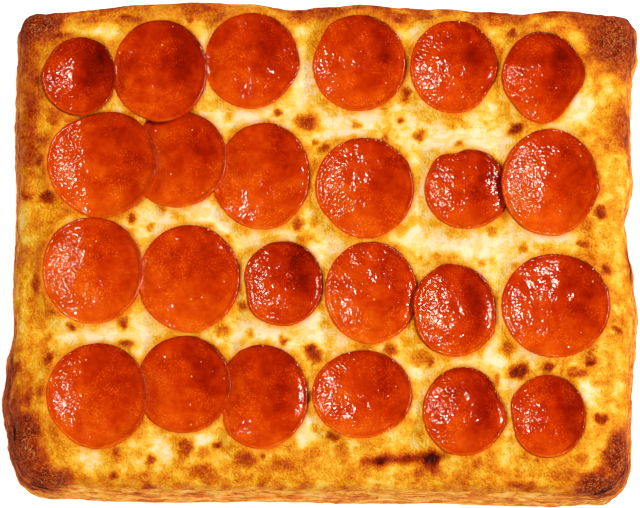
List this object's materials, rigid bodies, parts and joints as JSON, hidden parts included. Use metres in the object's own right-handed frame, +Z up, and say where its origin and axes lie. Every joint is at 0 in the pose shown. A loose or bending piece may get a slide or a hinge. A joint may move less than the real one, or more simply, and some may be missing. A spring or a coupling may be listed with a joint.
{
  "type": "rectangular pan pizza with pepperoni",
  "caption": "Whole rectangular pan pizza: a raised bread crust holding browned melted cheese, topped with rows of cupped pepperoni slices.",
  "frame": {"origin": "middle of the outline at the flat underside", "axes": "+X along the long side, to the right in the picture; +Y away from the viewer, towards the back side; +Z up"},
  "size_m": [0.2514, 0.2004, 0.0333],
  "materials": {
    "crust": "baked bread crust, golden to dark brown, matt with a little oil shine on the rim",
    "cheese": "melted cheese, pale cream to golden, with brown blisters, soft satin shine",
    "pepperoni": "cured sausage, orange-red, oily and finely pebbled, with darker edges"
  },
  "bodies": {
    "root": {"crust": "crust", "cheese": "cheese", "pepperoni_01": "pepperoni", "pepperoni_02": "pepperoni", "pepperoni_03": "pepperoni", "pepperoni_04": "pepperoni", "pepperoni_05": "pepperoni", "pepperoni_06": "pepperoni", "pepperoni_07": "pepperoni", "pepperoni_08": "pepperoni", "pepperoni_09": "pepperoni", "pepperoni_10": "pepperoni", "pepperoni_11": "pepperoni", "pepperoni_12": "pepperoni", "pepperoni_13": "pepperoni", "pepperoni_14": "pepperoni", "pepperoni_15": "pepperoni", "pepperoni_16": "pepperoni", "pepperoni_17": "pepperoni", "pepperoni_18": "pepperoni", "pepperoni_19": "pepperoni", "pepperoni_20": "pepperoni", "pepperoni_21": "pepperoni", "pepperoni_22": "pepperoni", "pepperoni_23": "pepperoni", "pepperoni_24": "pepperoni"}
  },
  "joints": []
}
